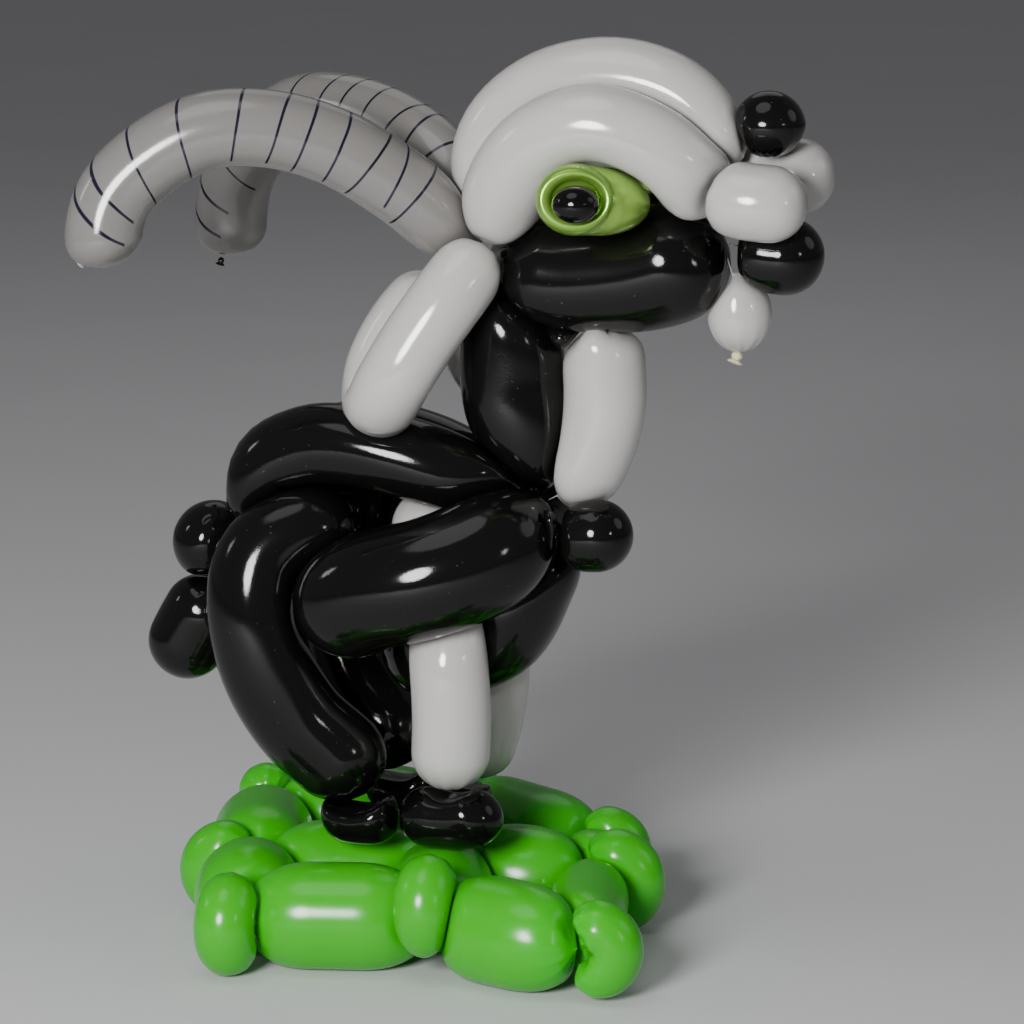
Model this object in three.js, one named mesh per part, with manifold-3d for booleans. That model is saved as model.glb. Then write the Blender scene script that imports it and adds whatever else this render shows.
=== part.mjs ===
// A goat twisted from modelling balloons, standing on a pad of green balloons.
// Every bubble of air between two twists is a closed body of its own.
// Frame in millimetres: the goat faces +X, its left side is +Y, up is +Z, and
// the pad rests on z = 0 with the middle of the whole outline over the origin.
import * as THREE from 'three';
import Module from 'manifold-3d';

// Radii of the blown-up balloons.
const THIN_RADIUS = 26;
const FAT_RADIUS = 38;
const LEG_RADIUS = 30.5;
const HORN_RADIUS = 24;
const PAD_RADIUS = 34;
const PINCH_RADIUS = 19;

// How far the two sides of the goat stand from its middle plane.
const LEG_SPREAD = 40;
const HORN_SPREAD = 112;

// The left side is a little different from the right.
const LEFT_HORN_TIP_BACK = 8;
const LEFT_HORN_TIP_DROP = 21;
const LEFT_HORN_ROOT_RISE = [0, 12, 12, 4];
const LEFT_MUZZLE_SHIFT = new THREE.Vector3(3, 0, 11);
const LEFT_EAR_FORWARD = 0.6;
const LEFT_BACK_DROP = 8;

// The pad. The bars at the head end are slimmer than the rest.
const PAD_MIDDLE_HEIGHT = 31.5;
const PAD_ROUNDNESS = 2.4;
const PAD_END_LENGTH = 45;
const PAD_HEAD_RADIUS = 25;
const PINCH_BEND = 14.5;
const PINCH_STAND_OFF = 18.5;
const PINCH_HALF_TURN = THREE.MathUtils.degToRad(140);

// Corners round a thin bubble, a fat one and a pinched one.
const SIDES = 10;
const FAT_SIDES = 12;
const PINCH_SIDES = 9;

// Clear space between two bubbles that press together, where facets are cut
// apart, from a bubble's end to its twist, and inside a tight bend.
const CLEAR_SPACE = 1.0;
const CUT_SPACE = 0.4;
const TWIST_SPACE = 2.0;
const CREASE_SPACE = 1.5;
const LEAST_REACH = 0.3;

// A bubble that doubles back presses on itself beyond this many radii of its run.
const OWN_STRETCH = 2.2;

// How the rings are laid, how closely a reach is found and how far a cut solid
// may be smoothed.
const END_CROWDING = 0.5;
const TURN_STEP = 0.02;
const STEEP = 0.8;
const REACH_PASSES = 14;
const SMOOTHING = 0.1;

const LATEX = {
  white: { color: 0xe6e3de, roughness: 0.35 },
  grey: { color: 0x8f8a86, roughness: 0.35 },
  black: { color: 0x08080a, roughness: 0.15 },
  green: { color: 0x4cb526, roughness: 0.35 },
  lime: { color: 0x7fae3a, roughness: 0.2 },
};

const point = (x, y, z) => new THREE.Vector3(x, y, z);

// Where the bubbles are twisted together.
const TWIST = {
  headBack: point(46, 0, 445),
  chest: point(78, 0, 283),
};

const bubbles = [];

// A bubble follows a path and narrows over a length of its own at each end. Where
// two press together, the one that yields more is pushed in more.
function bubble(name, latex, radius, path, shape = {}) {
  bubbles.push({
    name, latex, radius, path,
    startLength: shape.startLength ?? radius,
    endLength: shape.endLength ?? radius,
    roundness: shape.roundness ?? 2,
    endRoundness: shape.endRoundness ?? shape.roundness ?? 2,
    rings: shape.rings ?? 7,
    sides: shape.sides ?? SIDES,
    onFloor: shape.onFloor ?? false,
    yields: shape.yields ?? 1,
    height: shape.height ?? 1,
  });
}

const mirrored = (path) => path.map((p) => point(p.x, -p.y, p.z));

// The same bubble on the goat's right and left side. Paths are given for the right.
function pair(name, latex, radius, path, shape) {
  bubble(`${name}_right`, latex, radius, path, shape);
  bubble(`${name}_left`, latex, radius, mirrored(path), shape);
}

function buildHorns() {
  // Share of the spread reached, and the place in the middle plane, along the horn.
  const right = [
    [0.05, 46, 446], [0.16, 19, 460], [0.29, -7, 483], [0.46, -41, 507], [0.62, -77, 519],
    [0.77, -114, 518], [0.88, -145, 501], [0.96, -165, 479], [1, -171, 456], [1, -168, 433],
  ].map(([share, x, z]) => point(x, -share * HORN_SPREAD, z));
  const left = mirrored(right).map((p, i, all) => {
    const tipShare = (i / (all.length - 1)) ** 3;
    const rise = LEFT_HORN_ROOT_RISE[i] ?? 0;
    return point(p.x - LEFT_HORN_TIP_BACK * tipShare, p.y, p.z - LEFT_HORN_TIP_DROP * tipShare + rise);
  });
  const shape = { startLength: 34, endLength: 20, rings: 13, yields: 0.8 };
  bubble('horn_right', 'grey', HORN_RADIUS, right, shape);
  bubble('horn_left', 'grey', HORN_RADIUS, left, shape);
}

function buildHead() {
  const { headBack } = TWIST;
  bubble('crest', 'white', THIN_RADIUS, [
    headBack, point(41, 0, 478), point(49, 0, 514), point(79, 0, 540), point(122, 0, 549),
    point(159, 0, 539), point(181, 0, 517), point(193, 0, 490),
  ], { rings: 12 });
  pair('brow', 'white', THIN_RADIUS, [
    headBack, point(61, -28, 483), point(85, -39, 511), point(119, -41, 524),
    point(155, -34, 513), point(180, -22, 492), point(200, -8, 476),
  ], { rings: 12, yields: 0.5 });
  bubble('jaw', 'black', FAT_RADIUS, [
    point(46, 0, 443), point(78, 0, 427), point(121, 0, 428), point(161, 0, 438), point(194, 0, 455),
  ], { rings: 11, sides: FAT_SIDES, yields: 0.5 });
  const snout = [point(186, -24, 484), point(219, -30, 480), point(252, -20, 478)];
  const firm = { yields: 0.35 };
  bubble('muzzle_right', 'white', 23.5, snout, firm);
  bubble('muzzle_left', 'white', 23.5, mirrored(snout).map((p) => p.add(LEFT_MUZZLE_SHIFT)), firm);
  bubble('nose', 'black', 22.5, [point(220, 0, 547), point(220, 0, 524), point(220, 0, 502)]);
  bubble('chin', 'black', 24.5, [point(194, 0, 451), point(225, 0, 445), point(257, 0, 447)]);
  bubble('beard', 'white', 20, [point(194, 0, 444), point(202, 0, 416), point(203, 0, 382)],
    { startLength: 38, roundness: 1.8, endLength: 24, endRoundness: 2.2 });
  bubble('throat', 'black', 17, [point(47, 0, 414), point(78, -6, 399), point(113, -8, 393)],
    { rings: 6, yields: 2 });
  pair('eye', 'lime', 23.5, [
    point(123, -84, 484), point(118, -64, 482), point(131, -47, 480), point(155, -30, 475),
  ], { startLength: 12, endLength: 34, height: 0.92, yields: 0.25 });
  pair('pupil', 'black', 14.5, [point(128, -103, 483), point(121, -75, 481)],
    { rings: 6, height: 0.8, yields: 0.1 });
}

function buildEars() {
  // Each ear is one long bubble folded in half, the second half behind the first.
  const fold = [
    point(48, -20, 446), point(33, -44, 421), point(14, -56, 391), point(-2, -60, 364),
    point(-16, -45, 347), point(-22, -24, 366), point(-9, -16, 394), point(17, -10, 423),
  ];
  const shape = { rings: 12, yields: 0.6 };
  bubble('ear_right', 'white', 23, fold, shape);
  const swungForward = (p) => point(p.x + 4 + (fold[0].z - p.z) * LEFT_EAR_FORWARD, p.y, p.z);
  bubble('ear_left', 'white', 23, mirrored(fold).map(swungForward), shape);
}

function buildTrunk() {
  const { chest } = TWIST;
  bubble('neck', 'black', 33, [
    point(48, 0, 438), point(56, 0, 391), point(57, 0, 353), point(67, 0, 315), chest,
  ], { startLength: 50, endLength: 70, rings: 12, sides: FAT_SIDES, yields: 0.5 });
  bubble('bib', 'white', THIN_RADIUS, [
    point(110, 0, 418), point(116, 0, 375), point(116, 0, 343), point(107, 0, 314), point(94, 0, 293), chest,
  ], { startLength: 14, endLength: 38, rings: 10, yields: 2 });
  bubble('breast', 'black', 23, [point(86, -12, 264), point(112, -14, 266), point(141, -14, 268)]);
  bubble('breast_pleat', 'black', 9, [point(88, -34, 287), point(88, -34, 253)]);
  const arch = [
    point(-96, -30, 252), point(-94, -30, 300), point(-72, -30, 314), point(-44, -30, 318),
    point(-9, -28, 312), point(28, -20, 299), chest,
  ];
  const arched = { rings: 12, endLength: 60, yields: 0.5 };
  const lower = (p) => point(p.x, p.y, p.z - LEFT_BACK_DROP);
  bubble('back_right', 'black', 26.5, arch, arched);
  bubble('back_left', 'black', 26.5, mirrored(arch).map(lower), arched);
  const flank = { rings: 11, sides: FAT_SIDES, startLength: 60, yields: 0.3 };
  bubble('body_right', 'black', FAT_RADIUS, [
    chest, point(50, -44, 255), point(20, -60, 242), point(-19, -60, 231), point(-62, -42, 206),
  ], flank);
  bubble('body_left', 'black', FAT_RADIUS, [
    chest, point(42, 42, 266), point(8, 56, 252), point(-30, 56, 244), point(-68, 42, 214),
  ], flank);
  bubble('belly', 'black', FAT_RADIUS, [
    chest, point(59, 8, 238), point(38, 10, 200), point(4, 10, 187), point(-36, 10, 184),
  ], { rings: 10, sides: FAT_SIDES, startLength: 50 });
  bubble('tail_upper', 'black', 27, [point(-124, 0, 236), point(-148, 0, 244), point(-174, 0, 252)]);
  bubble('tail_lower', 'black', 26, [point(-140, 0, 220), point(-163, 0, 182), point(-177, 0, 152)]);
}

function buildLegs() {
  const y = -LEG_SPREAD;
  pair('hind_leg', 'black', LEG_RADIUS, [
    point(-44, -22, 246), point(-70, -38, 262), point(-91, -52, 248), point(-95, -60, 220),
    point(-87, -60, 179), point(-69, -52, 143), point(-43, -42, 116), point(-25, y, 95),
  ], { rings: 12, yields: 0.2 });
  bubble('front_leg_right', 'white', 25, [
    point(2, -13, 292), point(14, -22, 240), point(25, -38, 200), point(29, y, 150), point(27, y, 100),
  ], { rings: 10, yields: 0.6 });
  bubble('front_leg_left', 'white', 25, [
    point(2, 13, 288), point(14, 22, 240), point(26, 38, 200), point(28, -y, 150), point(13, -y, 88),
  ], { rings: 10, yields: 0.6 });
  const soft = { yields: 1.8 };
  pair('hind_hoof', 'black', 19, [point(-60, y, 84), point(-33, y, 81), point(-4, y, 84)], soft);
  bubble('front_hoof_right', 'black', 21, [
    point(-5, y, 94), point(10, y, 86), point(29, y, 85), point(46, y, 88), point(59, y, 98),
  ], soft);
  bubble('front_hoof_left', 'black', 16, [point(-12, -y, 80), point(9, -y, 80), point(30, -y, 82)], soft);
}

// The pad is a three by three net of twists with a barrel-shaped bubble on every
// side of its four cells and a small bent one on the outside of every outer twist.
function buildPad() {
  const net = [
    [[-86, -116], [34, -86], [139, -121]],
    [[-110, -22], [7, 15], [103, 24]],
    [[-152, 102], [-32, 155], [84, 86]],
  ].map((row) => row.map(([x, y]) => point(x, y, PAD_MIDDLE_HEIGHT)));
  const [front, middle, rear] = net;

  net.forEach((row, i) => {
    const name = ['front', 'middle', 'rear'][i];
    bar(`pad_${name}_0`, PAD_RADIUS, row[0], row[1]);
    bar(`pad_${name}_1`, PAD_RADIUS, row[1], row[2]);
  });
  ['tail', 'centre', 'head'].forEach((name, column) => {
    const radius = name === 'head' ? PAD_HEAD_RADIUS : PAD_RADIUS;
    bar(`pad_${name}_0`, radius, front[column], middle[column]);
    bar(`pad_${name}_1`, radius, middle[column], rear[column]);
  });

  pinch('front_tail', front[0], point(0.1, -1, 0));
  pinch('front_centre', front[1], point(0.1, -1, 0), { lift: 14 });
  pinch('front_head', front[2], point(0.95, 0.15, 0), { bend: 13, standOff: 7 });
  pinch('middle_tail', middle[0], point(-1, -0.1, 0));
  pinch('middle_head', middle[2], point(0.95, 0.2, 0), { bend: 16.5, standOff: 11.5 });
  pinch('rear_tail', rear[0], point(-0.4, 1, 0));
  pinch('rear_centre', rear[1], point(0, 1, 0));
  pinch('rear_head', rear[2], point(0.95, 0.31, 0), { bend: 13.5, standOff: 7 });
}

function bar(name, radius, from, to) {
  const endLength = Math.min(PAD_END_LENGTH, from.distanceTo(to) / 2);
  bubble(name, 'green', radius, [from, to], {
    onFloor: true, startLength: endLength, endLength, roundness: PAD_ROUNDNESS,
  });
}

// A small bubble that leaves a twist upward, bends over outside it and comes back
// below. The middle of its bend stands off from the twist and may be lifted.
function pinch(name, twist, outward, shape = {}) {
  const { bend = PINCH_BEND, standOff = PINCH_STAND_OFF, lift = 0 } = shape;
  const out = outward.normalize();
  const middle = twist.clone().addScaledVector(out, standOff).setZ(twist.z + lift);
  const path = [];
  for (let share = -1; share <= 1; share += 0.25) {
    const angle = share * PINCH_HALF_TURN;
    path.push(middle.clone()
      .addScaledVector(out, bend * Math.cos(angle))
      .add(point(0, 0, -bend * Math.sin(angle))));
  }
  bubble(`pinch_${name}`, 'green', PINCH_RADIUS, path, {
    onFloor: true, rings: 8, sides: PINCH_SIDES, startLength: bend, yields: 0.5,
  });
}

// Width of a rounded end at a share of its length.
function endWidth(share, roundness) {
  const left = 1 - Math.min(Math.max(share, 0), 1);
  return (1 - left * left) ** (1 / roundness);
}

// Shares of a bubble's length where its rings lie, closer together near the ends.
function ringShares(count) {
  return Array.from({ length: count + 1 }, (_, i) => {
    const even = i / count;
    return even - (END_CROWDING * Math.sin(2 * Math.PI * even)) / (2 * Math.PI);
  });
}

// Rings of a bubble. The turn of a ring points to the inside of a bend and is as
// long as the bend is sharp.
function layRings(item) {
  const curve = new THREE.CatmullRomCurve3(item.path, false, 'centripetal');
  const full = curve.getLength();
  const length = full - 2 * TWIST_SPACE;
  let side = null;
  return ringShares(item.rings).map((share) => {
    const along = share * length;
    const u = (along + TWIST_SPACE) / full;
    const ahead = curve.getTangentAt(u);
    const before = curve.getTangentAt(Math.max(u - TURN_STEP, 0));
    const after = curve.getTangentAt(Math.min(u + TURN_STEP, 1));
    side = side ? squareTo(ahead, side) : firstSide(ahead);
    return {
      along,
      middle: curve.getPointAt(u),
      side,
      across: ahead.clone().cross(side),
      turn: after.sub(before).divideScalar(2 * TURN_STEP * full),
      radius: item.radius
        * endWidth(along / item.startLength, item.roundness)
        * endWidth((length - along) / item.endLength, item.endRoundness),
    };
  });
}

// The part of a direction that is square to a bubble's run.
function squareTo(ahead, direction) {
  return direction.clone().addScaledVector(ahead, -direction.dot(ahead)).normalize();
}

// A side direction to begin with: upward, or forward where a bubble starts steeply.
function firstSide(ahead) {
  const steep = Math.abs(ahead.z) > STEEP;
  return squareTo(ahead, steep ? point(1, 0, 0) : point(0, 0, 1));
}

// Distance from a place to the round surface of a bubble, negative inside. What
// lies less than the pass-over length from one place on its run may be left out.
function distanceTo(item, place, along = -Infinity, passOver = 0) {
  const onLine = new THREE.Line3();
  const nearest = new THREE.Vector3();
  let best = Infinity;
  for (let i = 0; i + 1 < item.laid.length; i += 1) {
    const a = item.laid[i];
    const b = item.laid[i + 1];
    if (Math.abs((a.along + b.along) / 2 - along) < passOver) {
      continue;
    }
    onLine.set(a.middle, b.middle);
    const share = onLine.closestPointToPointParameter(place, true);
    onLine.at(share, nearest);
    const here = nearest.distanceTo(place) - THREE.MathUtils.lerp(a.radius, b.radius, share);
    best = Math.min(best, here);
  }
  return best;
}

// How far the skin reaches from a ring's middle before it meets the floor, the
// inside of its own bend, or the face it shares with a neighbour.
function reach(item, ring, direction) {
  let limit = ring.radius;
  const inward = direction.dot(ring.turn);
  if (inward > 0) {
    const bendLimit = (1 - CREASE_SPACE * ring.turn.length()) / inward;
    limit = Math.min(limit, Math.max(bendLimit, LEAST_REACH));
  }
  if (item.onFloor && direction.z < 0) {
    limit = Math.min(limit, ring.middle.z / -direction.z);
  }
  const free = (length) => {
    const place = ring.middle.clone().addScaledVector(direction, length);
    const own = length - ring.radius;
    if (distanceTo(item, place, ring.along, OWN_STRETCH * item.radius) < own + CLEAR_SPACE) {
      return false;
    }
    return item.neighbours.every((other) => {
      const clear = CLEAR_SPACE * (1 / item.yields + 1 / other.yields) / 2;
      return distanceTo(other, place) / other.yields >= own / item.yields + clear;
    });
  };
  if (free(limit)) {
    return limit;
  }
  let low = 0;
  let high = limit;
  for (let pass = 0; pass < REACH_PASSES; pass += 1) {
    const middle = (low + high) / 2;
    if (free(middle)) {
      low = middle;
    } else {
      high = middle;
    }
  }
  return Math.max(low, Math.min(LEAST_REACH, limit));
}

// Box round the whole of a bubble.
function boxOf(item) {
  const box = new THREE.Box3();
  for (const ring of item.laid) {
    box.expandByPoint(ring.middle.clone().addScalar(ring.radius));
    box.expandByPoint(ring.middle.clone().addScalar(-ring.radius));
  }
  return box;
}

// Direction from a ring's middle to its corner j. A flat side faces down.
function spoke(item, ring, j) {
  const angle = (2 * Math.PI * (j + 0.5)) / item.sides;
  const way = ring.side.clone().multiplyScalar(Math.cos(angle));
  way.addScaledVector(ring.across, Math.sin(angle));
  return way.setZ(way.z * item.height);
}

// A bubble's end point, moved out by the extra.
function beyond(end, inner, extra) {
  return end.clone().addScaledVector(end.clone().sub(inner).normalize(), extra);
}

// Skin of a bubble. A positive extra gives the same shape grown by that much.
function skin(item, reaches, extra) {
  const positions = [];
  const faces = [];
  const { sides, laid } = item;
  const inner = laid.slice(1, -1);
  const first = laid[0].middle;
  const last = laid[laid.length - 1].middle;
  positions.push(...beyond(first, inner[0].middle, extra).toArray());
  inner.forEach((ring, i) => {
    for (let j = 0; j < sides; j += 1) {
      const length = reaches[i][j] + extra;
      positions.push(...ring.middle.clone().addScaledVector(spoke(item, ring, j), length).toArray());
    }
  });
  positions.push(...beyond(last, inner[inner.length - 1].middle, extra).toArray());

  const at = (ring, j) => 1 + ring * sides + (j % sides);
  const end = 1 + inner.length * sides;
  for (let j = 0; j < sides; j += 1) {
    faces.push(0, at(0, j + 1), at(0, j));
    faces.push(end, at(inner.length - 1, j), at(inner.length - 1, j + 1));
    for (let ring = 0; ring + 1 < inner.length; ring += 1) {
      faces.push(at(ring, j), at(ring, j + 1), at(ring + 1, j + 1));
      faces.push(at(ring, j), at(ring + 1, j + 1), at(ring + 1, j));
    }
  }
  const geometry = new THREE.BufferGeometry();
  geometry.setAttribute('position', new THREE.Float32BufferAttribute(positions, 3));
  geometry.setIndex(faces);
  return geometry;
}

function buildGoat() {
  buildHorns();
  buildHead();
  buildEars();
  buildTrunk();
  buildLegs();
  buildPad();

  for (const item of bubbles) {
    item.laid = layRings(item);
    item.box = boxOf(item);
  }
  for (const item of bubbles) {
    item.neighbours = bubbles.filter((other) => other !== item && other.box.intersectsBox(item.box));
    item.reaches = item.laid.slice(1, -1).map((ring) => (
      Array.from({ length: item.sides }, (_, j) => reach(item, ring, spoke(item, ring, j)))
    ));
    item.solid = solidOf(skin(item, item.reaches, 0));
  }
  cutApart();

  const goat = new THREE.Group();
  goat.name = 'balloon_goat';
  for (const item of bubbles) {
    const geometry = geometryOf(item.solid);
    const mesh = new THREE.Mesh(geometry, new THREE.MeshStandardMaterial(LATEX[item.latex]));
    mesh.name = item.name;
    goat.add(mesh);
  }
  centreOverOrigin(goat);
  return goat;
}

// Moves the goat sideways so the middle of its outline is over the origin.
function centreOverOrigin(goat) {
  const middle = new THREE.Box3().setFromObject(goat).getCenter(new THREE.Vector3());
  for (const mesh of goat.children) {
    mesh.geometry.translate(-middle.x, -middle.y, 0);
  }
}

const manifold = await Module();
manifold.setup();

// From a skin to a solid that can be cut, and back to a skin.
function solidOf(geometry) {
  return new manifold.Manifold(new manifold.Mesh({
    numProp: 3,
    vertProperties: geometry.attributes.position.array,
    triVerts: new Uint32Array(geometry.index.array),
  }));
}

function geometryOf(solid) {
  const mesh = solid.getMesh();
  const geometry = new THREE.BufferGeometry();
  geometry.setAttribute('position', new THREE.BufferAttribute(mesh.vertProperties, 3));
  geometry.setIndex(new THREE.BufferAttribute(mesh.triVerts, 1));
  geometry.computeVertexNormals();
  return geometry;
}

// Coarse facets can still meet where two bubbles press together: cut those clear.
function cutApart() {
  bubbles.forEach((item, i) => {
    for (const other of bubbles.slice(i + 1).filter((one) => item.neighbours.includes(one))) {
      const shared = item.solid.intersect(other.solid);
      if (shared.volume() > 0) {
        const grown = solidOf(skin(other, other.reaches, CUT_SPACE));
        const pieces = item.solid.subtract(grown).decompose();
        pieces.sort((a, b) => b.volume() - a.volume());
        item.solid = pieces[0].simplify(SMOOTHING);
      }
    }
  });
}

export default buildGoat();
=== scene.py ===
# A goat twisted from modelling balloons, dressed for rendering.
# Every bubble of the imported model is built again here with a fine, smooth skin,
# soft contact faces and gathered ends, and takes a latex material of its colour.
# The drawing of the bubbles is in millimetres; Blender's own units are metres.
import math

import bpy
import numpy as np
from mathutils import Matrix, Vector

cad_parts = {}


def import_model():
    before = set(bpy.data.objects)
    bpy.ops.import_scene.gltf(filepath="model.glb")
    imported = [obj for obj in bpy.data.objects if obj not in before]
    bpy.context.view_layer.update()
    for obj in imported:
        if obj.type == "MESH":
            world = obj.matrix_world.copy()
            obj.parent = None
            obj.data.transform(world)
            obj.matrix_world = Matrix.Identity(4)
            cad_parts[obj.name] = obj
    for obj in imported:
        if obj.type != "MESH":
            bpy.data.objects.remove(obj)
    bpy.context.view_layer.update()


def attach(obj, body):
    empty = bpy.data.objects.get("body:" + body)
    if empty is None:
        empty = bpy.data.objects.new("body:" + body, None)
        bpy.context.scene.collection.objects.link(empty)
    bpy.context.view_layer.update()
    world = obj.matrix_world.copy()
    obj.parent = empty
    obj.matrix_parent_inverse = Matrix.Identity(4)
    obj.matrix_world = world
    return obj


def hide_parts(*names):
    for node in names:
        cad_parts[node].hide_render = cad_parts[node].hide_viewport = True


MM = 0.001

# The photograph's frame and viewing angle.
FRAME_PIXELS = 1024
CAMERA_AZIMUTH = 18
CAMERA_ELEVATION = 11
CAMERA_DISTANCE = 2600
PIXELS_PER_MM = 1.587
AIM_AT = (56, 0, 275)
SENSOR_WIDTH = 36
CLIP_END = 100

# Radii of the blown-up balloons.
THIN_RADIUS = 26
FAT_RADIUS = 38
LEG_RADIUS = 30.5
HORN_RADIUS = 24
PAD_RADIUS = 34
PINCH_RADIUS = 19

# How far the two sides of the goat stand from its middle plane.
LEG_SPREAD = 40
HORN_SPREAD = 112

# The left side is a little different from the right. Its horn bends away from the
# right one's course mostly near the tip, and its ear swings forward as it hangs.
LEFT_HORN_TIP_BACK = 8
LEFT_HORN_TIP_DROP = 21
LEFT_HORN_TIP_ONSET = 3
LEFT_HORN_ROOT_RISE = (0, 12, 12, 4)
LEFT_MUZZLE_SHIFT = (3, 0, 11)
LEFT_EAR_SHIFT = 4
LEFT_EAR_SWING = 0.6
LEFT_BACK_DROP = 8

# The hollow that the pupil presses into the eye, and how flat both are.
EYE_HOLLOW = {"radius": 14.6, "depth": 9, "rim": 5.6, "rings": 14, "floor_power": 4}
PUPIL_HEIGHT = 0.8

# The pad. The bars at the head end are slimmer than the rest.
PAD_MIDDLE_HEIGHT = 31.5
PAD_ROUNDNESS = 2.4
PAD_END_LENGTH = 45
PAD_HEAD_RADIUS = 25
PINCH_BEND = 14.5
PINCH_STAND_OFF = 18.5
PINCH_HALF_TURN = math.radians(140)
PINCH_POINTS = 9

# Clear space between two bubbles that press together, from a bubble's end to
# its twist, and inside a tight bend.
CLEAR_SPACE = 0.5
TWIST_SPACE = 2.0
CREASE_SPACE = 1.5

# However hard it is pressed, a skin stays this far out from the middle of its ring.
LEAST_REACH = 0.3

# A bubble that doubles back presses on itself beyond this many radii of its run.
OWN_STRETCH = 2.2

# How fine the skins are, how the reach of each corner is found and smoothed, and
# what keeps a division from zero.
RINGS = 64
SIDES = 56
SPINE_STEPS = 36
END_CROWDING = 0.85
TANGENT_STEP = 0.004
TURN_STEP = 0.02
STEEP = 0.8
REACH_PASSES = 9
SOFTNESS = 2.0
TINY = 1e-9
LEAST_RADIUS = 1e-6

# Gathers in the latex at a twist. They are spread unevenly, and each bubble starts
# them at another place.
GATHERS = 11
GATHER_DEPTH = 0.16
GATHER_LENGTH = 6.0
GATHER_SWAY = 1.3
GATHER_PHASES = 7

# Marker bands on the horns: the share of a horn's length where each lies, its slant,
# and the share of a turn that it reaches down each side. Other lengths are shares too.
BANDS = (
    (0.19, 0.02, 0.44), (0.24, -0.07, 0.37), (0.30, 0.05, 0.44), (0.37, 0, 0.44),
    (0.436, 0.04, 0.45), (0.492, 0.08, 0.41), (0.572, 0.08, 0.40), (0.676, 0.1, 0.46),
    (0.778, 0.13, 0.46), (0.865, 0.19, 0.37), (0.925, 0.26, 0.34),
)
BAND_HALF_WIDTH = 0.0028
BAND_PIVOT = 0.22
BAND_WOBBLE = 0.006
BAND_WOBBLE_SCALE = 30
BAND_CORE, BAND_EDGE = 0.7, 1.2
BAND_TAPER = 0.01
TIP_BANDS_FROM = 0.8
TIP_BAND_WIDTH = 1.4
MARKER_COLOUR = (0.008, 0.007, 0.02)

# The latex: the scales of its clouds, specks, ripples and grain, how far each shows,
# and, in metres, how deep its skin is worked and how deep light goes into it.
CLOUD_SCALE = 14
CLOUD_SHARE = 0.35
TWIST_FADE = (0.15, 1.1)
SPECKLE_SCALE = 420
SPECKLE_FADE = (0.35, 0.7)
SPECKLE_SHARE = 0.35
SPECKLE_SHADE = 0.94
ROUGHNESS_FADE = (0.3, 0.7)
ROUGHNESS_SWING = 0.03
RIPPLE_SCALE = 60
RIPPLE_SHARE = 1.5
GRAIN_SCALE = 900
GRAIN_DEPTH = 0.00003
SUBSURFACE_DEPTH = 0.012
LATEX_IOR = 1.5
DUST_SCALE = 600
DUST_FADE = (0.84, 0.88)
DUST_SHARE = 0.3
DUST_COLOUR = (0.16, 0.15, 0.14)

# Outline of a knot with its rolled lip: distance out from the bubble, and radius.
KNOT_OUTLINE = (
    (-1.5, 2.2), (0, 2.4), (1.2, 3.4), (2.6, 3.6), (3.8, 2.6), (4.6, 2.7), (5.4, 4.2), (6.0, 4.8),
    (6.6, 4.9), (6.9, 4.4), (6.4, 3.7), (5.6, 2.4), (5.2, 1.0),
)
KNOT_SIDES = 28
KNOT_PLEATS = 7
KNOT_PLEAT_DEPTH = 0.06

# The studio, in metres and watts. Azimuths turn from the goat's right side toward its
# head.
LAMPS = {
    "key_lamp": {"azimuth": -3, "elevation": 16, "distance": 2.2, "size": (0.68, 0.72), "power": 66},
    "top_lamp": {"azimuth": -20, "elevation": 70, "distance": 2.4, "size": (1.5, 1.5), "power": 9},
    "right_lamp": {"azimuth": 62, "elevation": 14, "distance": 2.6, "size": (0.22, 0.30), "power": 2.5},
    "left_lamp": {"azimuth": -75, "elevation": 25, "distance": 2.6, "size": (0.25, 0.5), "power": 2},
    "rear_lamp": {"azimuth": 195, "elevation": 45, "distance": 3.4, "size": (2.4, 1.8), "power": 6},
    "front_lamp": {"azimuth": 105, "elevation": 30, "distance": 3.2, "size": (1.5, 1.5), "power": 5},
}
SKY_COLOUR = (0.80, 0.80, 0.82, 1)
SKY_STRENGTH = 0.17
FLOOR_HALF = 30.0
FLOOR_HEIGHT = -0.0002
FLOOR_COLOURS = ((0.58, 0.58, 0.59), (0.62, 0.62, 0.63))
FLOOR_CLOUD_SCALE = 3
FLOOR_ROUGHNESS = 0.85

# Where the bubbles are twisted together.
HEAD_BACK = (46, 0, 445)
CHEST = (78, 0, 283)

bubbles = []


class Bubble:
    """One length of air between two twists, along a path in the drawing. Where two
    press together, the one that yields more is pushed in more."""

    def __init__(self, name, latex, radius, path, start=None, end=None, roundness=2.0,
                 end_roundness=None, on_floor=False, yields=1.0, height=1.0, hollow=None,
                 gathers="both"):
        self.name = name
        self.latex = latex
        self.radius = radius
        self.path = np.array(path, float)
        self.start = start or radius
        self.end = end or radius
        self.roundness = roundness
        self.end_roundness = end_roundness or roundness
        self.hollow = hollow
        self.gathers = gathers
        self.on_floor = on_floor
        self.yields = yields
        self.height = height
        bubbles.append(self)


def mirrored(path):
    return [(x, -y, z) for x, y, z in path]


def pair(name, latex, radius, path, **shape):
    Bubble(f"{name}_right", latex, radius, path, **shape)
    Bubble(f"{name}_left", latex, radius, mirrored(path), **shape)


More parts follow.
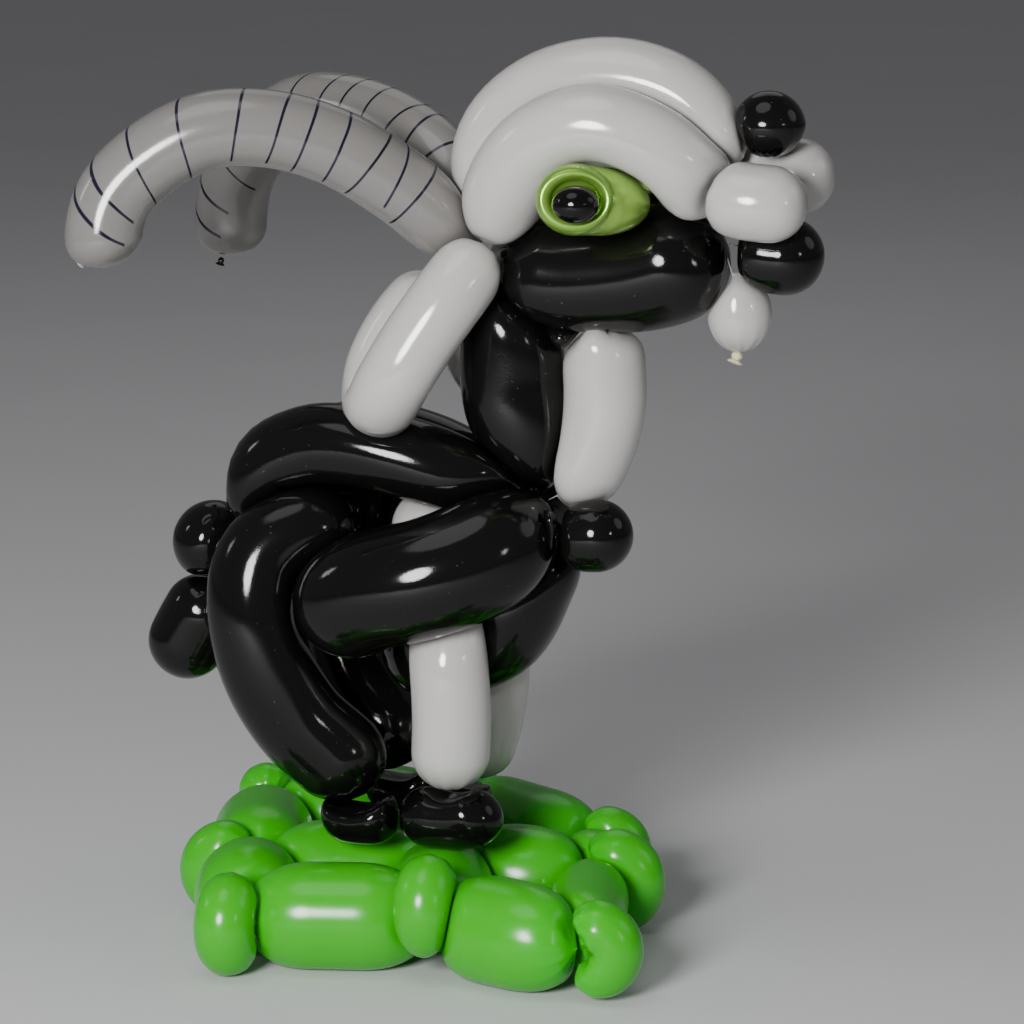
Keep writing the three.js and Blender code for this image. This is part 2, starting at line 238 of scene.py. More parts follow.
def build_horns():
    # Share of the spread reached, and the place in the middle plane, along the horn.
    course = [
        (0.05, 46, 446), (0.16, 19, 460), (0.29, -7, 483), (0.46, -41, 507), (0.62, -77, 519),
        (0.77, -114, 518), (0.88, -145, 501), (0.96, -165, 479), (1, -171, 456), (1, -168, 433),
    ]
    right = [(x, -share * HORN_SPREAD, z) for share, x, z in course]
    left = []
    for i, (x, y, z) in enumerate(mirrored(right)):
        tip_share = (i / (len(right) - 1)) ** LEFT_HORN_TIP_ONSET
        rise = LEFT_HORN_ROOT_RISE[i] if i < len(LEFT_HORN_ROOT_RISE) else 0
        left.append((x - LEFT_HORN_TIP_BACK * tip_share, y, z - LEFT_HORN_TIP_DROP * tip_share + rise))
    tapered = {"start": 34, "end": 20, "yields": 0.8, "gathers": "start"}
    Bubble("horn_right", "grey", HORN_RADIUS, right, **tapered)
    Bubble("horn_left", "grey", HORN_RADIUS, left, **tapered)


def build_head():
    Bubble("crest", "white", THIN_RADIUS, [
        HEAD_BACK, (41, 0, 478), (49, 0, 514), (79, 0, 540), (122, 0, 549),
        (159, 0, 539), (181, 0, 517), (193, 0, 490),
    ])
    pair("brow", "white", THIN_RADIUS, [
        HEAD_BACK, (61, -28, 483), (85, -39, 511), (119, -41, 524),
        (155, -34, 513), (180, -22, 492), (200, -8, 476),
    ], yields=0.5)
    Bubble("jaw", "black", FAT_RADIUS, [
        (46, 0, 443), (78, 0, 427), (121, 0, 428), (161, 0, 438), (194, 0, 455),
    ], yields=0.5)
    snout = [(186, -24, 484), (219, -30, 480), (252, -20, 478)]
    firm = {"yields": 0.35, "gathers": "start"}
    Bubble("muzzle_right", "white", 23.5, snout, **firm)
    Bubble("muzzle_left", "white", 23.5, np.add(mirrored(snout), LEFT_MUZZLE_SHIFT), **firm)
    Bubble("nose", "black", 22.5, [(220, 0, 547), (220, 0, 524), (220, 0, 502)], gathers="end")
    Bubble("chin", "black", 24.5, [(194, 0, 451), (225, 0, 445), (257, 0, 447)], gathers="start")
    Bubble("beard", "white", 20, [(194, 0, 444), (202, 0, 416), (203, 0, 382)],
           start=38, roundness=1.8, end=24, end_roundness=2.2)
    Bubble("throat", "black", 17, [(47, 0, 414), (78, -6, 399), (113, -8, 393)], yields=2)
    # The pupil is a small bubble pressed into the outer end of the eye.
    pair("eye", "lime", 23.5, [
        (123, -84, 484), (118, -64, 482), (131, -47, 480), (155, -30, 475),
    ], start=12, end=34, yields=0.25, height=0.92, hollow=EYE_HOLLOW, gathers="end")
    pair("pupil", "black", 14.5, [(128, -103, 483), (121, -75, 481)], height=PUPIL_HEIGHT,
         yields=0.1, gathers="none")


def build_ears():
    # Each ear is one long bubble folded in half, the second half behind the first.
    fold = [
        (48, -20, 446), (33, -44, 421), (14, -56, 391), (-2, -60, 364),
        (-16, -45, 347), (-22, -24, 366), (-9, -16, 394), (17, -10, 423),
    ]
    Bubble("ear_right", "white", 23, fold, yields=0.6)
    top = fold[0][2]
    swung_forward = [
        (x + LEFT_EAR_SHIFT + (top - z) * LEFT_EAR_SWING, y, z) for x, y, z in mirrored(fold)
    ]
    Bubble("ear_left", "white", 23, swung_forward, yields=0.6)


def build_trunk():
    Bubble("neck", "black", 33, [
        (48, 0, 438), (56, 0, 391), (57, 0, 353), (67, 0, 315), CHEST,
    ], start=50, end=70, yields=0.5)
    Bubble("bib", "white", THIN_RADIUS, [
        (110, 0, 418), (116, 0, 375), (116, 0, 343), (107, 0, 314), (94, 0, 293), CHEST,
    ], start=14, end=38, yields=2)
    Bubble("breast", "black", 23, [(86, -12, 264), (112, -14, 266), (141, -14, 268)], gathers="start")
    Bubble("breast_pleat", "black", 9, [(88, -34, 287), (88, -34, 253)])
    arch = [
        (-96, -30, 252), (-94, -30, 300), (-72, -30, 314), (-44, -30, 318),
        (-9, -28, 312), (28, -20, 299), CHEST,
    ]
    arched = {"end": 60, "yields": 0.5}
    Bubble("back_right", "black", 26.5, arch, **arched)
    Bubble("back_left", "black", 26.5, np.add(mirrored(arch), (0, 0, -LEFT_BACK_DROP)), **arched)
    flank = {"start": 60, "yields": 0.3}
    Bubble("body_right", "black", FAT_RADIUS, [
        CHEST, (50, -44, 255), (20, -60, 242), (-19, -60, 231), (-62, -42, 206),
    ], **flank)
    Bubble("body_left", "black", FAT_RADIUS, [
        CHEST, (42, 42, 266), (8, 56, 252), (-30, 56, 244), (-68, 42, 214),
    ], **flank)
    Bubble("belly", "black", FAT_RADIUS, [
        CHEST, (59, 8, 238), (38, 10, 200), (4, 10, 187), (-36, 10, 184),
    ], start=50)
    Bubble("tail_upper", "black", 27, [(-124, 0, 236), (-148, 0, 244), (-174, 0, 252)],
           gathers="start")
    Bubble("tail_lower", "black", 26, [(-140, 0, 220), (-163, 0, 182), (-177, 0, 152)],
           gathers="start")


def build_legs():
    y = -LEG_SPREAD
    pair("hind_leg", "black", LEG_RADIUS, [
        (-44, -22, 246), (-70, -38, 262), (-91, -52, 248), (-95, -60, 220),
        (-87, -60, 179), (-69, -52, 143), (-43, -42, 116), (-25, y, 95),
    ], yields=0.2)
    Bubble("front_leg_right", "white", 25, [
        (2, -13, 292), (14, -22, 240), (25, -38, 200), (29, y, 150), (27, y, 100),
    ], yields=0.6)
    Bubble("front_leg_left", "white", 25, [
        (2, 13, 288), (14, 22, 240), (26, 38, 200), (28, -y, 150), (13, -y, 88),
    ], yields=0.6)
    soft = {"yields": 1.8, "gathers": "none"}
    pair("hind_hoof", "black", 19, [(-60, y, 84), (-33, y, 81), (-4, y, 84)], **soft)
    Bubble("front_hoof_right", "black", 21, [
        (-5, y, 94), (10, y, 86), (29, y, 85), (46, y, 88), (59, y, 98),
    ], **soft)
    Bubble("front_hoof_left", "black", 16, [(-12, -y, 80), (9, -y, 80), (30, -y, 82)], **soft)


def build_pad():
    """Three by three twists, a barrel-shaped bubble on every side of the four cells
    between them and a small bent one on the outside of every outer twist."""
    net = [
        [(-86, -116), (34, -86), (139, -121)],
        [(-110, -22), (7, 15), (103, 24)],
        [(-152, 102), (-32, 155), (84, 86)],
    ]
    front, middle, rear = ([np.array([*place, PAD_MIDDLE_HEIGHT]) for place in row] for row in net)

    for name, row in (("front", front), ("middle", middle), ("rear", rear)):
        bar(f"pad_{name}_0", PAD_RADIUS, row[0], row[1])
        bar(f"pad_{name}_1", PAD_RADIUS, row[1], row[2])
    for column, name in enumerate(("tail", "centre", "head")):
        radius = PAD_HEAD_RADIUS if name == "head" else PAD_RADIUS
        bar(f"pad_{name}_0", radius, front[column], middle[column])
        bar(f"pad_{name}_1", radius, middle[column], rear[column])

    pinch("front_tail", front[0], (0.1, -1, 0))
    pinch("front_centre", front[1], (0.1, -1, 0), lift=14)
    pinch("front_head", front[2], (0.95, 0.15, 0), bend=13, stand_off=7)
    pinch("middle_tail", middle[0], (-1, -0.1, 0))
    pinch("middle_head", middle[2], (0.95, 0.2, 0), bend=16.5, stand_off=11.5)
    pinch("rear_tail", rear[0], (-0.4, 1, 0))
    pinch("rear_centre", rear[1], (0, 1, 0))
    pinch("rear_head", rear[2], (0.95, 0.31, 0), bend=13.5, stand_off=7)


def bar(name, radius, start, end):
    end_length = min(PAD_END_LENGTH, np.linalg.norm(end - start) / 2)
    Bubble(name, "green", radius, [start, end], on_floor=True,
           start=end_length, end=end_length, roundness=PAD_ROUNDNESS)


def pinch(name, twist, outward, bend=PINCH_BEND, stand_off=PINCH_STAND_OFF, lift=0):
    """A small bubble that leaves a twist upward, bends over outside it and comes back
    below. The middle of its bend stands off from the twist and may be lifted."""
    out = unit(np.array(outward, float))
    up = np.array((0, 0, 1))
    middle = twist + out * stand_off + up * lift
    angles = np.linspace(-PINCH_HALF_TURN, PINCH_HALF_TURN, PINCH_POINTS)[:, None]
    path = middle + bend * (out * np.cos(angles) - up * np.sin(angles))
    Bubble(f"pinch_{name}", "green", PINCH_RADIUS, path, on_floor=True, start=bend, yields=0.5)


def unit(vectors):
    return vectors / np.linalg.norm(vectors, axis=-1, keepdims=True)


class Course:
    """A smooth course through a path's points, read by its length."""

    FINE = 60

    def __init__(self, points):
        before = 2 * points[0] - points[1]
        after = 2 * points[-1] - points[-2]
        knots = np.vstack([before, points, after])
        pieces = [self.piece(*knots[i:i + 4]) for i in range(len(points) - 1)]
        self.points = np.vstack([*pieces, points[-1:]])
        steps = np.linalg.norm(np.diff(self.points, axis=0), axis=1)
        self.travelled = np.concatenate([[0], np.cumsum(steps)])
        self.length = self.travelled[-1]

    def piece(self, p0, p1, p2, p3):
        """A centripetal Catmull-Rom piece from p1 to p2."""
        d0, d1, d2 = (math.sqrt(np.linalg.norm(b - a)) for a, b in ((p0, p1), (p1, p2), (p2, p3)))
        leave = ((p1 - p0) / d0 - (p2 - p0) / (d0 + d1) + (p2 - p1) / d1) * d1
        arrive = ((p2 - p1) / d1 - (p3 - p1) / (d1 + d2) + (p3 - p2) / d2) * d1
        t = np.linspace(0, 1, self.FINE, endpoint=False)[:, None]
        return (p1 + leave * t + (3 * (p2 - p1) - 2 * leave - arrive) * t ** 2
                + (2 * (p1 - p2) + leave + arrive) * t ** 3)

    def at(self, along):
        return np.stack([np.interp(along, self.travelled, self.points[:, k]) for k in range(3)], axis=1)

    def tangent(self, along):
        step = TANGENT_STEP * self.length
        low = np.clip(along - step, 0, self.length - 2 * step)
        return unit(self.at(low + 2 * step) - self.at(low))


def end_width(share, roundness):
    left = 1 - np.clip(share, 0, 1)
    return (1 - left * left) ** (1 / roundness)


def outline_of(item, length, count):
    """How far along each ring lies, its radius and its flatness."""
    even = np.linspace(0, 1, count + 1)
    share = even - END_CROWDING * np.sin(2 * math.pi * even) / (2 * math.pi)
    along = share * length
    radius = (item.radius * end_width(along / item.start, item.roundness)
              * end_width((length - along) / item.end, item.end_roundness))
    height = np.full(count + 1, item.height)
    if not item.hollow:
        return along, radius, height
    return hollowed(item, along, radius, height)


def hollowed(item, along, radius, height):
    """The same outline with its first end pressed in: floor, wall, rim, then the outside."""
    hollow, depth, rim = (item.hollow[key] for key in ("radius", "depth", "rim"))
    steps = np.linspace(0, 1, item.hollow["rings"])
    floor = hollow * steps
    dish = depth - (depth - rim) * steps ** item.hollow["floor_power"]
    turn = steps[1:] * math.pi / 2
    wall = hollow + rim * (1 - np.cos(turn))
    climb = rim * (1 - np.sin(turn))
    crest = hollow + rim
    widest = crest + (item.radius - crest) * np.sin(turn)
    back = item.start * (1 - np.cos(turn))
    rest = along > item.start
    flat = np.concatenate([
        np.full(2 * len(steps) - 1, PUPIL_HEIGHT),
        PUPIL_HEIGHT + (item.height - PUPIL_HEIGHT) * np.sin(turn), height[rest],
    ])
    return (np.concatenate([dish, climb, back, along[rest]]),
            np.concatenate([floor, wall, widest, radius[rest]]), flat)


def lay_rings(item, count):
    """Ring middles, side and cross directions, radii, and how sharply the course turns."""
    course = Course(item.path)
    length = course.length - 2 * TWIST_SPACE
    along, radius, height = outline_of(item, length, count)
    place = along + TWIST_SPACE
    ahead = course.tangent(place)
    step = TURN_STEP * course.length
    before = course.tangent(np.maximum(place - step, 0))
    after = course.tangent(np.minimum(place + step, course.length))
    side = np.empty_like(ahead)
    last = np.array((1.0, 0, 0) if abs(ahead[0, 2]) > STEEP else (0, 0, 1.0))
    for i, direction in enumerate(ahead):
        last = unit(last - direction * (last @ direction))
        side[i] = last
    return {
        "along": along, "height": height, "middle": course.at(place), "side": side,
        "across": np.cross(ahead, side), "turn": (after - before) / (2 * step), "radius": radius,
        "share": along / length, "to_end": length - along,
    }


def distance_to(spine, places, along=None, pass_over=0):
    """Distance from places to the round surface of a bubble, negative inside. What
    lies less than the pass-over length from each place's own run may be left out."""
    middle, radius = spine["middle"], spine["radius"]
    start, run = middle[:-1], np.diff(middle, axis=0)
    offset = places[:, None, :] - start
    t = np.clip(np.einsum("psk,sk->ps", offset, run) / (run * run).sum(1), 0, 1)
    nearest = offset - t[..., None] * run
    gap = np.sqrt(np.einsum("psk,psk->ps", nearest, nearest)) - radius[:-1] - t * np.diff(radius)
    if along is not None:
        halfway = (spine["along"][:-1] + spine["along"][1:]) / 2
        gap[np.abs(halfway - along[:, None]) < pass_over] = np.inf
    return gap.min(1)


def reach_of(item):
    """How far the skin reaches from each ring's middle in each direction before it
    meets the floor, the inside of its own bend or the face shared with a neighbour."""
    laid = item.laid
    angle = 2 * math.pi * (np.arange(SIDES) + 0.5) / SIDES
    spokes = (laid["side"][:, None] * np.cos(angle)[None, :, None]
              + laid["across"][:, None] * np.sin(angle)[None, :, None])
    spokes[..., 2] *= laid["height"][:, None]
    radius = np.repeat(laid["radius"][:, None], SIDES, axis=1)
    limit = radius.copy()
    inward = np.einsum("rsk,rk->rs", spokes, laid["turn"])
    sharp = np.linalg.norm(laid["turn"], axis=1)[:, None]
    bend = np.maximum((1 - CREASE_SPACE * sharp) / np.maximum(inward, TINY), LEAST_REACH)
    limit = np.where(inward > 0, np.minimum(limit, bend), limit)
    if item.on_floor:
        down = -spokes[..., 2]
        floor = laid["middle"][:, 2:3] / np.maximum(down, TINY)
        limit = np.where(down > 0, np.minimum(limit, floor), limit)

    middles = np.repeat(laid["middle"][:, None], SIDES, axis=1).reshape(-1, 3)
    flat_spokes, flat_radius, high = spokes.reshape(-1, 3), radius.ravel(), limit.ravel().copy()
    flat_along = np.repeat(laid["along"], SIDES)

    def blocked(chosen, lengths):
        places = middles[chosen] + flat_spokes[chosen] * lengths[:, None]
        own = lengths - flat_radius[chosen]
        far_side = distance_to(item.spine, places, flat_along[chosen], OWN_STRETCH * item.radius)
        hit = far_side < own + CLEAR_SPACE
        for other in item.neighbours:
            clear = CLEAR_SPACE * (1 / item.yields + 1 / other.yields) / 2
            hit |= distance_to(other.spine, places) / other.yields < own / item.yields + clear
        return hit

    everyone = np.arange(len(high))
    pressed = everyone[blocked(everyone, high)]
    low, top = np.zeros(len(pressed)), high[pressed]
    for _ in range(REACH_PASSES):
        middle = (low + top) / 2
        hit = blocked(pressed, middle)
        low, top = np.where(hit, low, middle), np.where(hit, middle, top)
    high[pressed] = np.maximum(low, np.minimum(LEAST_REACH, high[pressed]))
    return spokes, high.reshape(radius.shape), radius


def blurred(grid):
    """A grid of ring by side, averaged with its neighbours. It closes on itself by side."""
    size = int(3 * SOFTNESS)
    weights = np.exp(-0.5 * (np.arange(-size, size + 1) / SOFTNESS) ** 2)
    weights /= weights.sum()
    padded = np.pad(grid, ((size, size), (0, 0)), mode="edge")
    along = sum(w * padded[i:i + len(grid)] for i, w in enumerate(weights))
    return sum(w * np.roll(along, i - size, axis=1) for i, w in enumerate(weights))


def gathered(item, reach):
    """Folds in the latex that run out of each twist."""
    angle = 2 * math.pi * (np.arange(SIDES) + 0.5) / SIDES
    phase = sum(map(ord, item.name)) % GATHER_PHASES
    wave = 0.5 + 0.5 * np.cos(GATHERS * angle + phase + GATHER_SWAY * np.sin(2 * angle + phase))
    depth = np.zeros(len(reach))
    for end, length in (("start", item.laid["along"]), ("end", item.laid["to_end"])):
        if item.gathers in (end, "both"):
            depth += GATHER_DEPTH * np.exp(-length / GATHER_LENGTH)
    return reach * (1 - depth[:, None] * wave[None, :])


def skin(item):
    """The mesh of one bubble, with its length and girth as UV coordinates."""
    spokes, reach, radius = reach_of(item)
    share = reach / np.maximum(radius, LEAST_RADIUS)
    reach = radius * np.minimum(share, blurred(share))
    reach = gathered(item, reach)
    laid = item.laid
    rings = laid["middle"][:, None] + spokes * reach[..., None]
    rings = rings[1:-1]
    count = len(rings)
    points = np.vstack([laid["middle"][:1], rings.reshape(-1, 3), laid["middle"][-1:]])
    points[:, 2] = np.maximum(points[:, 2], 0)

    j = np.arange(SIDES)
    k = (j + 1) % SIDES
    first = 1 + np.arange(count)[:, None] * SIDES
    lower, upper = first[:-1], first[1:]
    quads = np.stack([lower + j, lower + k, upper + k, upper + j], axis=-1).reshape(-1, 4)
    end = len(points) - 1
    start_fan = [(0, 1 + b, 1 + a) for a, b in zip(j, k)]
    end_fan = [(end, int(first[-1, 0]) + a, int(first[-1, 0]) + b) for a, b in zip(j, k)]

    mesh = bpy.data.meshes.new(f"{item.name}_latex")
    mesh.from_pydata((points * MM).tolist(), [], [*quads.tolist(), *start_fan, *end_fan])
    add_uv(mesh, laid["share"], count)
    from_end = np.minimum(laid["along"], laid["to_end"])
    stretch = np.concatenate([[0], np.repeat(from_end[1:-1], SIDES), [0]]) / item.radius
    attribute = mesh.attributes.new("stretch", "FLOAT", "POINT")
    attribute.data.foreach_set("value", np.clip(stretch, 0, 1).astype(np.float32))
    mesh.shade_smooth()
    return mesh


def add_uv(mesh, share, count):
    """U runs from twist to twist and V once round the bubble."""
    layer = mesh.uv_layers.new(name="run")
    end = len(mesh.vertices) - 1
    values = np.empty((len(mesh.loops), 2), np.float32)
    for polygon in mesh.polygons:
        around = [(v - 1) % SIDES for v in polygon.vertices if 0 < v < end]
        wraps = max(around) - min(around) > 1
        for loop, vertex in zip(polygon.loop_indices, polygon.vertices):
            if vertex in (0, end):
                values[loop] = (float(vertex > 0), (sum(around) / len(around)) / SIDES)
                continue
            ring, corner = divmod(vertex - 1, SIDES)
            corner += SIDES if wraps and corner == 0 else 0
            values[loop] = (share[ring + 1], (corner + 0.5) / SIDES)
    layer.data.foreach_set("uv", values.ravel())


def build_bubbles():
    build_horns()
    build_head()
    build_ears()
    build_trunk()
    build_legs()
    build_pad()
    for item in bubbles:
        item.laid = lay_rings(item, RINGS)
        item.spine = lay_rings(item, SPINE_STEPS)
        grown = item.spine["radius"][:, None]
        item.low = (item.spine["middle"] - grown).min(0)
        item.high = (item.spine["middle"] + grown).max(0)
    for item in bubbles:
        item.neighbours = [
            other for other in bubbles if other is not item and not seated(item, other)
            and (other.low < item.high).all() and (other.high > item.low).all()
        ]
        item.mesh = skin(item)


def seated(one, other):
    """Whether one of two bubbles is a pupil that sits in the hollow of the other."""
    return other.name in (one.name.replace("eye", "pupil"), one.name.replace("pupil", "eye"))


def centre_over_origin():
    """Moves the skins sideways so the middle of the whole outline is over the origin."""
    corners = np.array([v.co for item in bubbles for v in item.mesh.vertices])
    middle = (corners.min(0) + corners.max(0)) / 2
    shift = Vector((-middle[0], -middle[1], 0))
    for item in bubbles:
        for vertex in item.mesh.vertices:
            vertex.co += shift
    return shift


def dress(materials):
    for item in bubbles:
        piece = bpy.data.objects.new(f"{item.name}_latex", item.mesh)
        bpy.context.scene.collection.objects.link(piece)
        piece.data.materials.append(materials[item.latex])
        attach(piece, "root")
        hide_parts(item.name)


def knot_mesh(name, place, out, size, shift):
    """The tied end of a balloon, with the rolled lip of its mouth."""
    out = unit(np.array(out, float))
    side = unit(np.cross(out, (0, 1, 0)))
    across = np.cross(out, side)
    angle = 2 * math.pi * np.arange(KNOT_SIDES) / KNOT_SIDES
    pleats = 1 + KNOT_PLEAT_DEPTH * np.cos(KNOT_PLEATS * angle)
    spokes = side * np.cos(angle)[:, None] + across * np.sin(angle)[:, None]
    spokes *= pleats[:, None]
    rings = [np.array(place) + size * (out * along + spokes * radius) for along, radius in KNOT_OUTLINE]
    tip = np.array(place) + size * out * KNOT_OUTLINE[-1][0]
    points = np.vstack([*rings, tip])

    faces = [tuple(range(KNOT_SIDES))[::-1]]
    for ring in range(len(rings) - 1):
        low, high = ring * KNOT_SIDES, (ring + 1) * KNOT_SIDES
        for j in range(KNOT_SIDES):
            k = (j + 1) % KNOT_SIDES
            faces.append((low + j, low + k, high + k, high + j))
    last = (len(rings) - 1) * KNOT_SIDES
    faces += [(last + j, last + (j + 1) % KNOT_SIDES, len(points) - 1) for j in range(KNOT_SIDES)]
    mesh = bpy.data.meshes.new(name)
    mesh.from_pydata((points * MM + np.array(shift)).tolist(), [], faces)
    mesh.shade_smooth()
    return mesh


def tie_knots(materials, shift):
    """The knots of the beard and of both horns. Each is tied where its bubble ends."""
    knots = [
        ("beard_knot", (202, 0, 383.5), (-0.25, -0.35, -1), 1.0, "white", "knot"),
        ("horn_right_knot", (-184, -HORN_SPREAD, 439), (-0.7, 0, -0.7), 0.6, "grey", "white"),
        ("horn_left_knot", (-184, HORN_SPREAD, 412), (-0.3, 0, -1), 0.62, "grey", "black"),
    ]
    for name, place, out, size, slot, colour in knots:
        mesh = knot_mesh(name, place, out, size, shift)
        mesh.materials.append(materials[colour])
        knot = bpy.data.objects.new(name, mesh)
        bpy.context.scene.collection.objects.link(knot)
        smooth = knot.modifiers.new("smooth", "SUBSURF")
        smooth.levels = smooth.render_levels = 1
        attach(knot, "root")


class Look:
    """A node material with a Principled shader and short calls to add nodes."""

    def __init__(self, name):
        self.material = bpy.data.materials.new(name)
        self.material.use_nodes = True
        self.nodes = self.material.node_tree.nodes
        self.links = self.material.node_tree.links
        self.shader = self.nodes["Principled BSDF"]
        coordinates = self.nodes.new("ShaderNodeTexCoord")
        self.position = coordinates.outputs["Object"]
        self.uv = coordinates.outputs["UV"]

    def put(self, socket, value):
        if isinstance(value, bpy.types.NodeSocket):
            self.links.new(value, socket)
        else:
            socket.default_value = value

    def math(self, operation, a, b=0.0):
        node = self.nodes.new("ShaderNodeMath")
        node.operation = operation
        self.put(node.inputs[0], a)
        self.put(node.inputs[1], b)
        return node.outputs[0]

    def ramp(self, value, low, high, to_low=0.0, to_high=1.0):
        node = self.nodes.new("ShaderNodeMapRange")
        node.interpolation_type = "SMOOTHSTEP"
        bounds = {"From Min": low, "From Max": high, "To Min": to_low, "To Max": to_high}
        for name, number in bounds.items():
            node.inputs[name].default_value = number
        self.put(node.inputs["Value"], value)
        return node.outputs["Result"]

    def noise(self, scale, detail):
        node = self.nodes.new("ShaderNodeTexNoise")
        node.inputs["Scale"].default_value = scale
        node.inputs["Detail"].default_value = detail
        self.put(node.inputs["Vector"], self.position)
        return node.outputs["Fac"]

    def mix(self, share, a, b):
        """Mixes two colours. The node's colour sockets come after those for numbers."""
        node = self.nodes.new("ShaderNodeMix")
        node.data_type = "RGBA"
        self.put(node.inputs[0], share)
        self.put(node.inputs[6], a if isinstance(a, bpy.types.NodeSocket) else (*a, 1))
        self.put(node.inputs[7], b if isinstance(b, bpy.types.NodeSocket) else (*b, 1))
        return node.outputs[2]

    def stretch(self):
        node = self.nodes.new("ShaderNodeAttribute")
        node.attribute_name = "stretch"
        return node.outputs["Fac"]

    def set(self, **values):
        for name, value in values.items():
            self.put(self.shader.inputs[name.replace("_", " ")], value)

    def bump(self, height, distance):
        node = self.nodes.new("ShaderNodeBump")
        node.inputs["Distance"].default_value = distance
        self.put(node.inputs["Height"], height)
        self.links.new(node.outputs["Normal"], self.shader.inputs["Normal"])


def latex_look(name, thin, twist_colour, roughness, specular=0.5, subsurface=0.0,
               subsurface_radius=(1, 1, 1), metallic=0.0):
    """Balloon latex: thin where it is blown full, deeper in colour near a twist. On green the colour
    near a twist is also brighter, a painted glow of light shining through the latex in its creases.
    """
    look = Look(name)
    cloud = look.noise(CLOUD_SCALE, 3)
    from_twist = look.math("ADD", look.stretch(), look.math("MULTIPLY", cloud, CLOUD_SHARE))
    # The colour fades from the one near a twist to the full one. On green the colour near a twist is
    # brighter, a painted glow of light through the latex.
    colour = look.mix(look.ramp(from_twist, *TWIST_FADE), twist_colour, thin)
    speckle = look.ramp(look.noise(SPECKLE_SCALE, 4), *SPECKLE_FADE)
    shade = look.mix(speckle, tuple(SPECKLE_SHADE * c for c in thin), thin)
    look.colour = look.mix(SPECKLE_SHARE, colour, shade)
    swing = look.ramp(cloud, *ROUGHNESS_FADE, -ROUGHNESS_SWING, ROUGHNESS_SWING)
    ripple = look.math("MULTIPLY", look.noise(RIPPLE_SCALE, 2), RIPPLE_SHARE)
    look.bump(look.math("ADD", look.noise(GRAIN_SCALE, 3), ripple), GRAIN_DEPTH)
    look.set(
        Base_Color=look.colour, Roughness=look.math("ADD", swing, roughness), Metallic=metallic,
        IOR=LATEX_IOR, Specular_IOR_Level=specular,
    )
    if subsurface:
        look.set(Subsurface_Weight=subsurface, Subsurface_Radius=subsurface_radius,
                 Subsurface_Scale=SUBSURFACE_DEPTH)
    return look


def draw_bands(look):
    """Marker lines drawn by hand round a horn, open underneath and slanted near its tip."""
    parts = look.nodes.new("ShaderNodeSeparateXYZ")
    look.put(parts.inputs[0], look.uv)
    sway = look.math("SUBTRACT", look.noise(BAND_WOBBLE_SCALE, 1), 0.5)
    run = look.math("ADD", parts.outputs["X"], look.math("MULTIPLY", sway, BAND_WOBBLE))
    half_turned = look.math("FRACT", look.math("ADD", parts.outputs["Y"], 0.5))
    from_top = look.math("ABSOLUTE", look.math("SUBTRACT", half_turned, 0.5))
    ink = 0.0
    for place, slant, reach in BANDS:
        half = BAND_HALF_WIDTH * (TIP_BAND_WIDTH if place > TIP_BANDS_FROM else 1)
        line = look.math("ADD", look.math("MULTIPLY", from_top, slant), place - BAND_PIVOT * slant)
        off = look.math("ABSOLUTE", look.math("SUBTRACT", run, line))
        stroke = look.ramp(off, BAND_CORE * half, BAND_EDGE * half, 1, 0)
        length = look.ramp(from_top, reach - BAND_TAPER, reach, 1, 0)
        ink = look.math("MAXIMUM", ink, look.math("MULTIPLY", stroke, length))
    look.set(Base_Color=look.mix(ink, look.colour, MARKER_COLOUR))


def scatter_dust(look):
    """Fine pale dust, which shows on black latex."""
    dust = look.ramp(look.noise(DUST_SCALE, 0), *DUST_FADE)
    look.set(Base_Color=look.mix(look.math("MULTIPLY", dust, DUST_SHARE), look.colour, DUST_COLOUR))


def make_materials():
    looks = {
        "white": latex_look(
            "white_latex", (0.47, 0.455, 0.44), (0.36, 0.347, 0.335), roughness=0.13,
            specular=0.7, subsurface=0.2, subsurface_radius=(1.0, 0.9, 0.8)),
        "grey": latex_look(
            "grey_latex", (0.185, 0.176, 0.168), (0.15, 0.14, 0.132), roughness=0.15,
            specular=0.6, subsurface=0.1, subsurface_radius=(1.0, 0.9, 0.8)),
        "black": latex_look(
            "black_latex", (0.004, 0.0037, 0.0036), (0.002, 0.002, 0.002), roughness=0.09,
            specular=0.33),
        # Green latex near a twist is brighter and deeper in colour than where it is blown full. This is
        # a painted glow of light shining through the latex in the creases between bubbles.
        "green": latex_look(
            "green_latex", (0.03, 0.40, 0.005), (0.01, 0.46, 0.002), roughness=0.23,
            subsurface=0.5, subsurface_radius=(0.3, 1.0, 0.1)),
        "lime": latex_look(
            "lime_latex", (0.34, 0.60, 0.10), (0.16, 0.34, 0.04), roughness=0.27, metallic=0.65),
        "knot": latex_look(
            "knot_latex", (0.74, 0.70, 0.50), (0.62, 0.55, 0.34), roughness=0.35),
    }
    draw_bands(looks["grey"])
    scatter_dust(looks["black"])
    return {name: look.material for name, look in looks.items()}


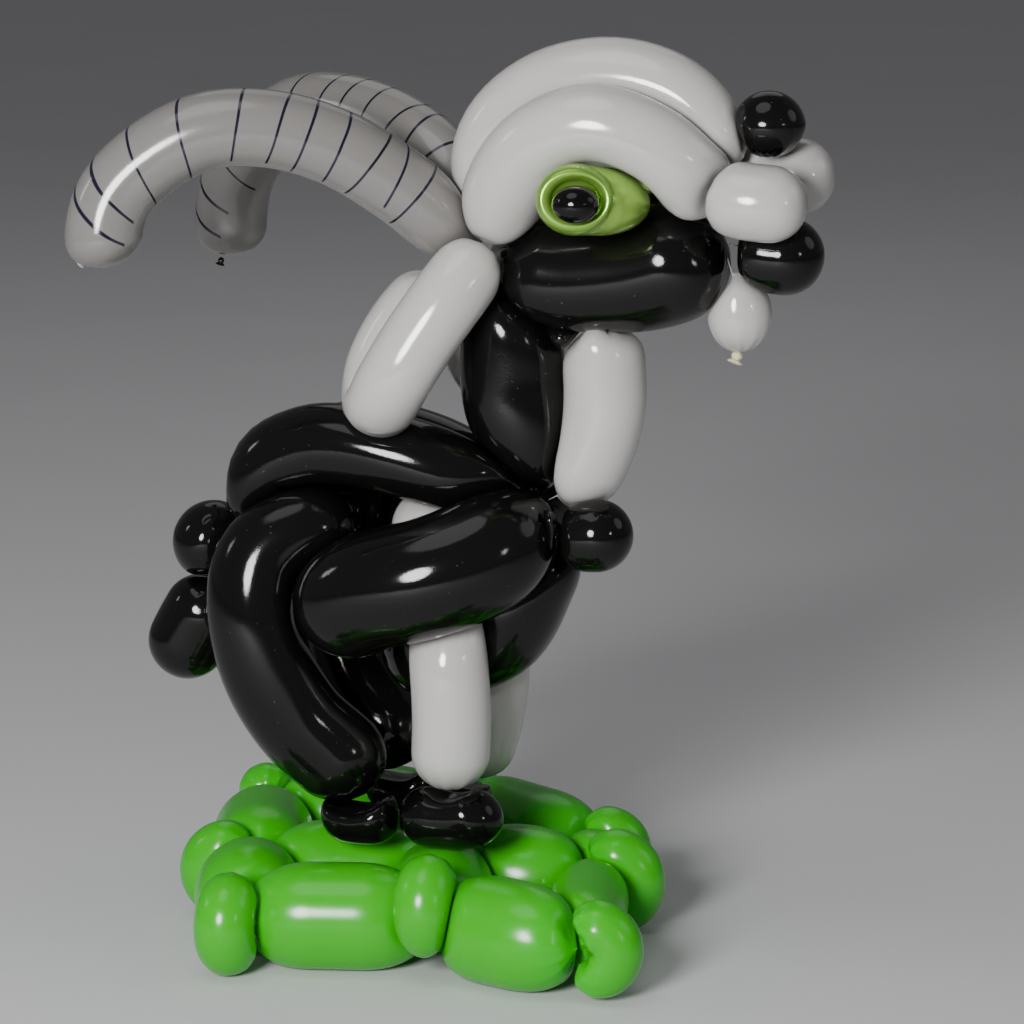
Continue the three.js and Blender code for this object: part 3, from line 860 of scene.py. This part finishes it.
def build_floor():
    mesh = bpy.data.meshes.new("floor")
    signs = [(-1, -1), (1, -1), (1, 1), (-1, 1)]
    corners = [(x * FLOOR_HALF, y * FLOOR_HALF, FLOOR_HEIGHT) for x, y in signs]
    mesh.from_pydata(corners, [], [(0, 1, 2, 3)])
    floor = bpy.data.objects.new("floor", mesh)
    bpy.context.scene.collection.objects.link(floor)
    look = Look("pale_floor")
    colour = look.mix(look.noise(FLOOR_CLOUD_SCALE, 2), *FLOOR_COLOURS)
    look.set(Base_Color=colour, Roughness=FLOOR_ROUGHNESS)
    mesh.materials.append(look.material)


def direction_at(azimuth, elevation):
    """Points away from the goat, round from its right side toward its head, and up."""
    a, e = math.radians(azimuth), math.radians(elevation)
    return Vector((math.sin(a) * math.cos(e), -math.cos(a) * math.cos(e), math.sin(e)))


def place_camera(shift):
    target = Vector(AIM_AT) * MM + shift
    back = direction_at(CAMERA_AZIMUTH, CAMERA_ELEVATION)
    data = bpy.data.cameras.new("camera")
    data.sensor_width = SENSOR_WIDTH
    data.lens = SENSOR_WIDTH * PIXELS_PER_MM * CAMERA_DISTANCE / FRAME_PIXELS
    data.clip_end = CLIP_END
    camera = bpy.data.objects.new("camera", data)
    camera.location = target + back * CAMERA_DISTANCE * MM
    camera.rotation_mode = "QUATERNION"
    camera.rotation_quaternion = (-back).to_track_quat("-Z", "Y")
    bpy.context.scene.collection.objects.link(camera)
    bpy.context.scene.camera = camera
    return target


def add_lamp(name, target, azimuth, elevation, distance, size, power):
    direction = direction_at(azimuth, elevation)
    data = bpy.data.lights.new(name, "AREA")
    data.shape = "ELLIPSE"
    data.size, data.size_y = size
    data.energy = power
    lamp = bpy.data.objects.new(name, data)
    lamp.location = target + direction * distance
    lamp.rotation_mode = "QUATERNION"
    lamp.rotation_quaternion = (-direction).to_track_quat("-Z", "Y")
    bpy.context.scene.collection.objects.link(lamp)


def light_studio(target):
    for name, lamp in LAMPS.items():
        add_lamp(name, target, **lamp)
    world = bpy.data.worlds.new("studio")
    bpy.context.scene.world = world
    world.use_nodes = True
    background = world.node_tree.nodes["Background"]
    background.inputs["Color"].default_value = SKY_COLOUR
    background.inputs["Strength"].default_value = SKY_STRENGTH


def main():
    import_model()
    build_bubbles()
    shift = centre_over_origin()
    materials = make_materials()
    dress(materials)
    tie_knots(materials, shift)
    build_floor()
    target = place_camera(shift)
    light_studio(target)


main()
